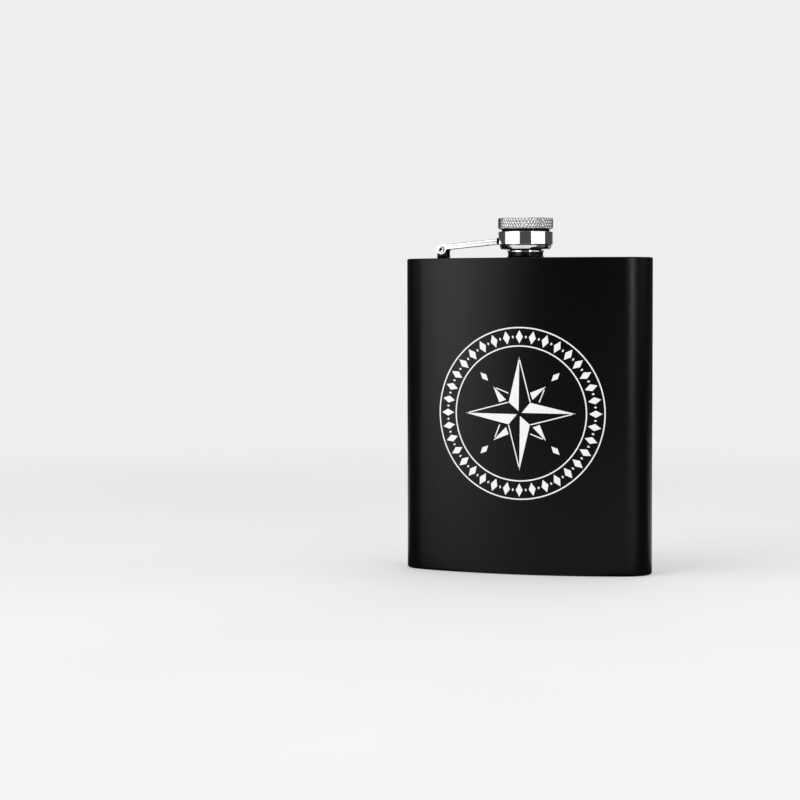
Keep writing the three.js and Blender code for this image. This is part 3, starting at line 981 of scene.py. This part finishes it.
def cap_gaps():
    """Rings of painted shade: one in the sleeve's undercut between collar and grip, one where the collar
    meets the grip, and one filling the gap between collar and lip.
    """
    shade_ring("cap_groove_shade", 8.8, 9.0, COLLAR_TO + 0.1, INNER_TO)
    shade_ring("cap_seat_shade", 8.8, 9.6, COLLAR_TO + 0.02, COLLAR_TO + 0.12)
    shade_ring("cap_lip_gap_shade", SLEEVE_OUTER + 0.02, 9.66, COLLAR_FROM - LIP_GAP + 0.01, COLLAR_FROM - 0.02)


LINER_BORE = 8.2
LINER_THREAD = 0.5


def cap_liner():
    """The threaded insert: a plain cup outside, with an inside thread that mates the neck's."""
    outer = LINER - SKIN
    roof = SEAL_TO + 0.03
    side = rounded([
        (LINER_BORE, roof, 0.1),
        (LINER_BORE, LINER_FROM, 0.12),
        (outer, LINER_FROM, 0.12),
        (outer, LINER_TO, 0.3),
        (outer - 2, LINER_TO),
    ])
    side = np.vstack([[[LINER_BORE - 2, roof]], side])
    side = dense(side, THREAD_STEP, LINER_FROM, roof)
    swell = thread(LINER_BORE, LINER_FROM + 0.3, THREAD_TO, -LINER_THREAD, 0.5)
    piece = turned("cap_liner", side, THREAD_COLUMNS, swell, ends=(roof, LINER_TO))
    belongs(piece, "cap", "cap_liner", PLASTIC)


def cap_seal():
    """The seal: a soft disc with a shallow ring pressed into it by the neck's rim."""
    radius = SEAL - SKIN
    pressed = SEAL_FROM + 0.08
    side = rounded([
        (BORE - 1, SEAL_FROM),
        (BORE - 0.1, SEAL_FROM, 0.1),
        (BORE + 0.1, pressed, 0.1),
        (NECK_WALL - 0.1, pressed, 0.1),
        (NECK_WALL + 0.1, SEAL_FROM, 0.1),
        (radius, SEAL_FROM, 0.2),
        (radius, SEAL_TO, 0.2),
        (1, SEAL_TO),
    ])
    piece = turned("cap_seal", side, 128, ends=(SEAL_FROM, SEAL_TO))
    belongs(piece, "cap", "cap_seal", SILICONE)


# ---- the ornament: a geometric medallion on the front ----
MEDAL_X = 0.5
MEDAL_Z = 61.0
MEDAL_OUT = np.array([0.04, 0.04, -0.03, -0.03])  # how far its shapes stand proud, and are sunk in
RINGS = (32.3, 25.4)
RING_WIDTH = 0.5
DIAMONDS = 36
STAR_LONG = 21.5
STAR_SHORT = 14.5
STAR_WAIST = 6.2
LINE = 0.42
LINE_STOP = 1.4
STAR_HEART = 0.7
HEART_GAP = 0.06
SHORT_WIDE = 0.17  # how far a short point's base reaches along its long neighbours
EIGHTH = math.pi / 4
TIP = 0.985  # each solid half ends this far along its outer edge, so that its tip keeps a little width
FRONT = BEND + THICKNESS / 2 - SKIN


def on_front(across, up, out):
    """Places flat drawing coordinates on the curved front: across is measured along the arc from the
    medallion's middle, and out is how far the point stands in front of the wall."""
    angle = (MEDAL_X + across) / FRONT
    reach = FRONT + out
    return np.stack([reach * np.sin(angle), AXIS_Y + BEND - reach * np.cos(angle), MEDAL_Z + up], -1)


def band(radius, width):
    """A thin flat ring: a small rectangular section carried round a circle."""
    columns = 240
    angle = np.linspace(0, TURN, columns, endpoint=False)[:, None]
    distance = radius + width / 2 * np.array([-1, 1, 1, -1])[None, :]
    rings = on_front(distance * np.cos(angle), distance * np.sin(angle), MEDAL_OUT + 0 * angle)
    points = rings.reshape(-1, 3)
    return points, quads_between(columns, 4, True)


def patch(first, second, steps):
    """A flat patch between two edges, each a pair of drawing points, cut into steps along its length so that
    it follows the curved front. It has a face, a back and four sides."""
    share = np.linspace(0, 1, steps + 1)[:, None]
    one = first[0] + share * (first[1] - first[0])
    other = second[0] + share * (second[1] - second[0])
    across, up = np.stack([one, other, other, one], -1).transpose(1, 0, 2)
    points = on_front(across, up, MEDAL_OUT + 0 * across).reshape(-1, 3)
    quads = quads_between(steps + 1, 4, False)
    ends = np.array([[3, 2, 1, 0], np.arange(4) + 4 * steps])
    return points, np.vstack([quads, ends])


def polar(radius, angle):
    """A drawing point at a distance and a direction from the medallion's middle."""
    return radius * np.array([math.cos(angle), math.sin(angle)])


def lozenge(radius, angle, half_length, half_width):
    """A diamond whose long way points outwards."""
    middle = polar(radius, angle)
    aside = polar(half_width, angle + QUARTER)
    inner = polar(radius - half_length, angle)
    outer = polar(radius + half_length, angle)
    return patch((inner, middle + aside), (middle - aside, outer), 2)


def towards(start, end, share):
    """The drawing point at a share of the way between two others."""
    return start + share * (end - start)


def edge_line(start, end, inner):
    """A thin line just inside the edge from a start point to a tip, on the side where the inner point is. It
    stops short of the tip, where the solid half takes over."""
    edge = (end - start) / np.linalg.norm(end - start)
    across = np.array([-edge[1], edge[0]])
    across = LINE * across * np.sign(across @ (inner - start))
    last = end - edge * LINE_STOP
    return patch((start, last), (start + across, last + across), 12)


def long_point(angle):
    """One of the four long points: one half solid, the other drawn by a thin line along its edge."""
    tip = polar(STAR_LONG, angle)
    heart = polar(STAR_HEART, angle)
    left = polar(STAR_WAIST, angle + EIGHTH)
    right = polar(STAR_WAIST, angle - EIGHTH)
    middle_side = (towards(heart, left, HEART_GAP), tip)
    outer_side = (towards(left, heart, HEART_GAP), towards(left, tip, TIP))
    return [patch(middle_side, outer_side, 12), edge_line(right, tip, heart)]


def short_point(angle):
    """One of the four short points, standing in the notch between two long ones with a small gap."""
    tip = polar(STAR_SHORT, angle)
    notch = polar(STAR_WAIST + 1.1, angle)
    base = polar(STAR_WAIST + 0.9, angle)
    left, right = (towards(base, polar(STAR_LONG, angle + turn), SHORT_WIDE) for turn in (EIGHTH, -EIGHTH))
    return [patch((notch, tip), (left, towards(left, tip, TIP)), 8), edge_line(right, tip, notch)]


def medallion():
    """The front's ornament: two rings with diamonds between them, round an eight-pointed star."""
    shapes = [band(radius, RING_WIDTH) for radius in RINGS]
    middle = sum(RINGS) / 2
    for i in range(DIAMONDS):
        angle = TURN * i / DIAMONDS
        shapes.append(lozenge(middle, angle, 2.5, 1.35))
        shapes.append(lozenge(middle, angle + math.pi / DIAMONDS, 0.6, 0.42))
    for i in range(4):
        angle = QUARTER * i
        shapes.extend(long_point(angle))
        shapes.extend(short_point(angle + EIGHTH))
        shapes.append(lozenge(19.5, angle + EIGHTH, 2.2, 1.1))
    points = []
    faces = []
    start = 0
    for spots, quads in shapes:
        points.append(spots)
        outwards = quads if enclosed_volume(spots, quads) > 0 else quads[:, ::-1]
        faces.append(outwards + start)
        start += len(spots)
    piece = piece_from("front_ornament", np.vstack(points), np.vstack(faces))
    piece.data.materials.append(ENGRAVED)
    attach(piece, "flask")


for make in (
    body_sleeve, top_plate, bottom_plate, neck_foot, neck, hinge_lug, hinge_pin, cap_arm,
    swivel_collar, cap_shell, cap_sleeve, cap_gaps, cap_liner, cap_seal, medallion,
):
    make()


# ---- floor, light and camera ----
PALE = (0.86, 0.86, 0.865)
FILL = (0.45, 0.45, 0.455)
DIM = (0.09, 0.09, 0.091)
FLOOR_REACH = 1.3
FLOOR_GLOW = 0.2
FLOOR_FADE = (0.30, 1.15)  # the floor fades out between these distances
SEEN_FADE = 1.5  # how much nearer the floor fades out for the camera than for reflections
FLOOR_IN_MIRROR = 1.12  # the share of its brightness with which the floor is mirrored
SIDE_SHADE = 0.08  # what is left of the mirrored floor on either side of the flask
SIDE_MIDDLE = math.radians(90)
SIDE_HALF = math.radians(25)
SIDE_BLUR = math.radians(6)
FRONT_MIDDLE = math.radians(2.5)


def mirrored_share(tree, place, mirrored):
    """Brightness of the floor: 1 where it is seen or lights something, and a smaller share where it is
    mirrored. That share drops further in two sectors, one on either side of the flask, so that its rounded
    corners stay dark. The angle is the compass direction from the flask, 0 in front."""
    split = tree.nodes.new("ShaderNodeSeparateXYZ")
    tree.links.new(place, split.inputs[0])
    ahead = math_node(tree, "MULTIPLY", split.outputs["Y"], -1)
    angle = math_node(tree, "ARCTAN2", split.outputs["X"], ahead)
    turned = math_node(tree, "ABSOLUTE", math_node(tree, "SUBTRACT", angle, FRONT_MIDDLE))
    away = math_node(tree, "ABSOLUTE", math_node(tree, "SUBTRACT", turned, SIDE_MIDDLE))
    edge = (SIDE_HALF - SIDE_BLUR, SIDE_HALF + SIDE_BLUR)
    lost = map_range(tree, away, edge, (1 - FLOOR_IN_MIRROR * SIDE_SHADE, 1 - FLOOR_IN_MIRROR))
    return math_node(tree, "SUBTRACT", 1, math_node(tree, "MULTIPLY", mirrored, lost))


def floor_fade(tree, place, seen):
    """The floor's alpha: 1 near the flask, and falling smoothly to 0 with distance."""
    length = tree.nodes.new("ShaderNodeVectorMath")
    length.operation = "LENGTH"
    tree.links.new(place, length.inputs[0])
    nearer = math_node(tree, "ADD", math_node(tree, "MULTIPLY", seen, SEEN_FADE - 1), 1)
    scaled = math_node(tree, "MULTIPLY", length.outputs["Value"], nearer)
    return map_range(tree, scaled, FLOOR_FADE, (1, 0), "SMOOTHSTEP")


def floor_paper():
    """Matte pale paper with faint clouds, glowing a little so that its shadows stay soft."""
    finish = Finish("floor_paper", Specular_IOR_Level=0.2, Emission_Strength=FLOOR_GLOW)
    grain = finish.effect(GRAIN, Fine=900, Broad=6)
    finish.tint(grain.outputs["Cloud"], (0.52, 0.52, 0.524), (0.54, 0.54, 0.544))
    finish.gloss(grain.outputs["Grain"], 0.7, 0.8)
    tree = finish.tree
    inputs = finish.shader.inputs
    path = tree.nodes.new("ShaderNodeLightPath").outputs
    share = mirrored_share(tree, finish.place, path["Is Glossy Ray"])
    dimmed = tree.nodes.new("ShaderNodeMix")
    dimmed.data_type = "RGBA"
    dimmed.blend_type = "MULTIPLY"
    dimmed.inputs["Factor"].default_value = 1
    tree.links.new(inputs["Base Color"].links[0].from_socket, dimmed.inputs["A"])
    tree.links.new(share, dimmed.inputs["B"])
    tree.links.new(dimmed.outputs["Result"], inputs["Base Color"])
    tree.links.new(share, inputs["Emission Color"])
    tree.links.new(floor_fade(tree, finish.place, path["Is Camera Ray"]), inputs["Alpha"])
    return finish.material


def floor():
    """A pale floor that fades out with distance, so that it meets the pale surroundings with no edge."""
    mesh = bpy.data.meshes.new("floor")
    corners = FLOOR_REACH * np.array([(-1, -1, 0), (1, -1, 0), (1, 1, 0), (-1, 1, 0)])
    mesh.from_pydata(corners.tolist(), [], [(0, 1, 2, 3)])
    mesh.materials.append(floor_paper())
    placed("floor", mesh)


def surroundings():
    """Pale surroundings for what the camera sees, soft fill for matte surfaces, and dim ones for what the
    flask mirrors."""
    world = bpy.data.worlds.new("studio")
    bpy.context.scene.world = world
    world.use_nodes = True
    tree = world.node_tree
    tree.nodes.clear()
    path = tree.nodes.new("ShaderNodeLightPath").outputs
    result = tree.nodes.new("ShaderNodeOutputWorld").inputs["Surface"]
    shown = None
    for colour, ray in ((DIM, None), (FILL, "Is Diffuse Ray"), (PALE, "Is Camera Ray")):
        shade = tree.nodes.new("ShaderNodeBackground")
        shade.inputs["Color"].default_value = (*colour, 1)
        if ray is None:
            shown = shade.outputs[0]
            continue
        mix = tree.nodes.new("ShaderNodeMixShader")
        for source, socket in zip((path[ray], shown, shade.outputs[0]), mix.inputs):
            tree.links.new(source, socket)
        shown = mix.outputs[0]
    tree.links.new(shown, result)


def soft_box(name, first, last, low, high, radiance, distance=0.9, rise=0.0):
    """A soft light standing at a distance from the flask, between two compass directions seen from its
    middle (0 in front, positive to the right) and between two heights. It is turned to face the flask, tipped
    down by an angle, and its power is what gives it that radiance."""
    middle = math.radians((first + last) / 2)
    width = 2 * distance * math.tan(math.radians(last - first) / 2)
    tall = (high - low) / math.cos(rise)
    data = bpy.data.lights.new(name, "AREA")
    data.shape = "RECTANGLE"
    data.size = width
    data.size_y = tall
    data.energy = radiance * math.pi * width * tall
    lamp = placed(name, data)
    lamp.location = (distance * math.sin(middle), -distance * math.cos(middle), (low + high) / 2)
    facing = Matrix.Rotation(middle, 3, "Z") @ Matrix.Rotation(QUARTER - rise, 3, "X")
    lamp.rotation_euler = facing.to_euler()
    lamp.visible_camera = False
    return lamp


def studio_lights():
    """Soft boxes either side of the camera, one long low strip beside each, and large ones high up on the
    left, on the right, behind and overhead."""
    soft_box("left_box", -50.5, -31, 0.0, 0.45, 2.2)
    soft_box("left_box_edge", -50.5, -17, 0.0, 0.45, 1.9)
    soft_box("right_box", 40.5, 46, 0.06, 0.4, 15.5)
    soft_box("left_strip", -82, -11, 0.137, 0.18, 1.7)
    soft_box("right_strip", 44, 104, 0.137, 0.18, 1.7)
    soft_box("high_box", -80, -20, 0.4, 1.5, 1.6, 1.0, math.radians(45))
    soft_box("right_high_box", 60, 116, 0.30, 0.9, 2.0, 0.95, math.radians(25))
    soft_box("back_high_box", 150, 205, 0.6, 1.6, 0.8, 1.0, math.radians(45))
    top = soft_box("top_box", -33, 33, 1.0, 2.0, 1.3, 0.95, math.radians(30))
    top.location = (0, 0, 1.35)
    top.rotation_euler = (0, 0, 0)


CAMERA_DISTANCE = 808.5
CAMERA_AZIMUTH = math.radians(14.06)
CAMERA_HEIGHT = 102.9
CAMERA_HEADING = math.radians(17.51)
CAMERA_PITCH = math.radians(2.65)
CAMERA_ROLL = math.radians(-0.12)
CAMERA_LENS = 95.1


def camera():
    """A long lens slightly to the right of the front and just below the cap, looking a little down."""
    data = bpy.data.cameras.new("camera")
    data.lens = CAMERA_LENS
    data.sensor_width = 36
    data.clip_start = 0.01
    rig = placed("camera", data)
    place = Vector((
        CAMERA_DISTANCE * math.sin(CAMERA_AZIMUTH),
        -CAMERA_DISTANCE * math.cos(CAMERA_AZIMUTH),
        CAMERA_HEIGHT,
    )) * MM
    turn = Matrix.Rotation(CAMERA_HEADING, 4, "Z")
    tip = Matrix.Rotation(QUARTER - CAMERA_PITCH, 4, "X")
    roll = Matrix.Rotation(CAMERA_ROLL, 4, "Z")
    rig.matrix_world = Matrix.Translation(place) @ turn @ tip @ roll
    bpy.context.scene.camera = rig


floor()
surroundings()
studio_lights()
camera()
bpy.context.scene.view_settings.view_transform = "Standard"
